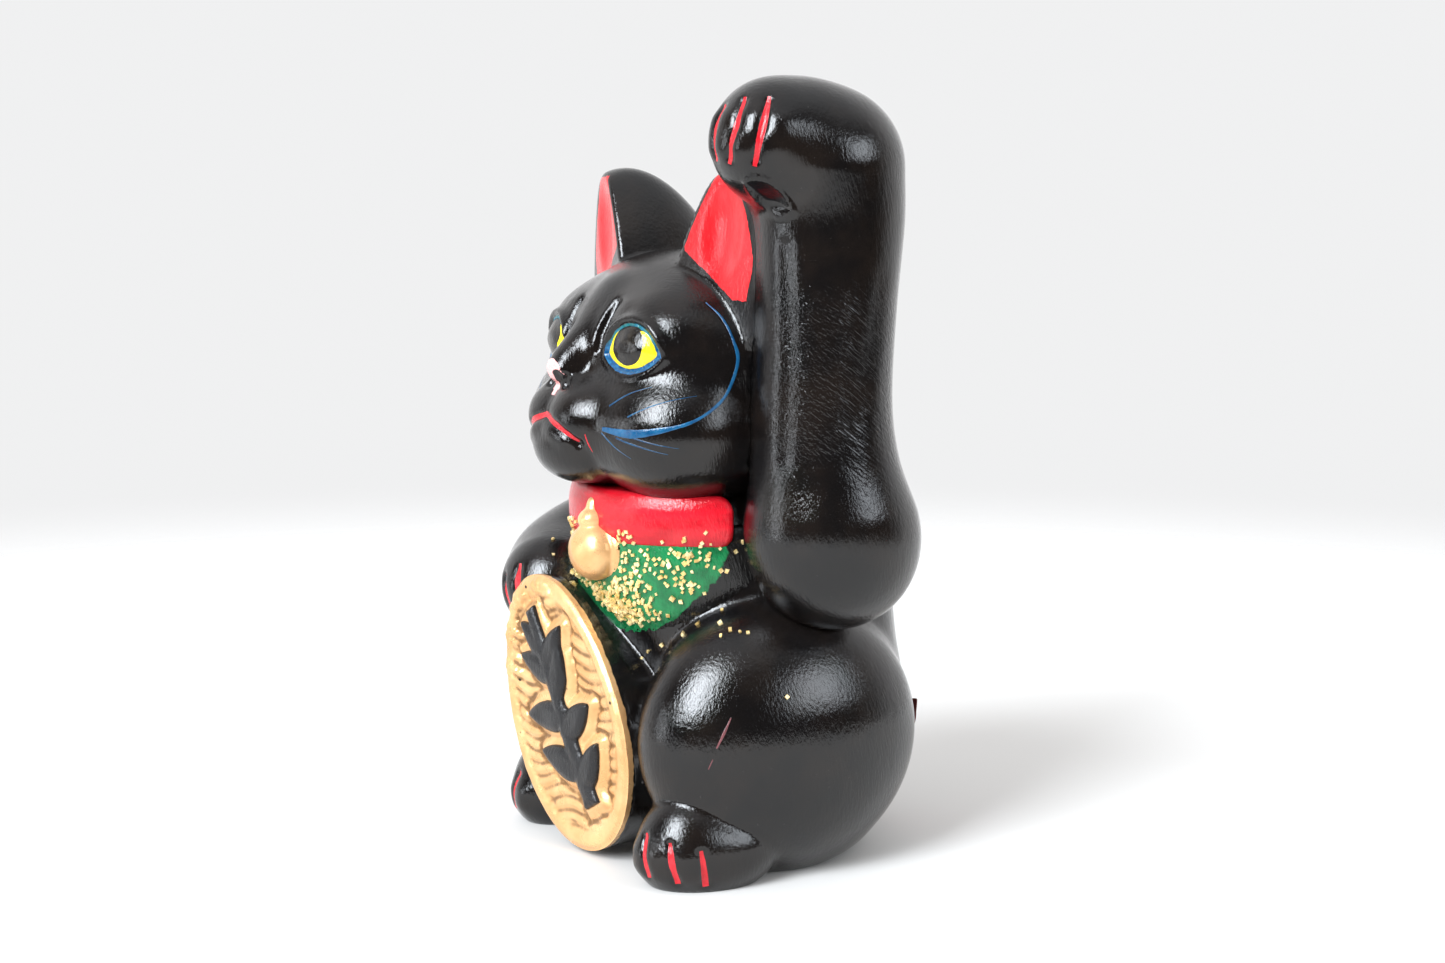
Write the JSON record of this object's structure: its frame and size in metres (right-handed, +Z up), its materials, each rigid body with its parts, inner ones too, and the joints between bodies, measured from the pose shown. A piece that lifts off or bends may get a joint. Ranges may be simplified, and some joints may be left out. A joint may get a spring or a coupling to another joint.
{
  "type": "beckoning cat figurine",
  "caption": "Seated glossy black ceramic beckoning cat coin bank, one long paw raised high, the other holding an oval gold coin; red collar, green bib and gold bell.",
  "frame": {"origin": "on the floor under the middle of the bounding box", "axes": "+Z up, the cat looks along -Y, +X is the side of its raised left arm"},
  "size_m": [0.1325, 0.1063, 0.2085],
  "materials": {
    "black_glaze": "high gloss black glaze",
    "gold_paint": "satin gold paint",
    "black_paint": "semi-gloss black paint",
    "red_enamel": "gloss red paint",
    "green_enamel": "gloss green paint with gold glitter",
    "label_paper": "dark red, worn and peeling",
    "stopper_rubber": "matt black"
  },
  "bodies": {
    "figure": {"torso": "black_glaze", "head": "black_glaze", "raised_arm": "black_glaze", "holding_arm": "black_glaze", "tail": "black_glaze", "koban": "gold_paint", "koban_motif": "black_paint", "bell": "gold_paint", "collar": "red_enamel", "bib": "green_enamel", "back_label": "label_paper"},
    "stopper": {"stopper": "stopper_rubber"}
  },
  "joints": [
    {"name": "stopper_pull", "type": "slide", "parent": "figure", "child": "stopper", "axis": [0, 0, -1], "range_m": [0, 0.013]}
  ]
}
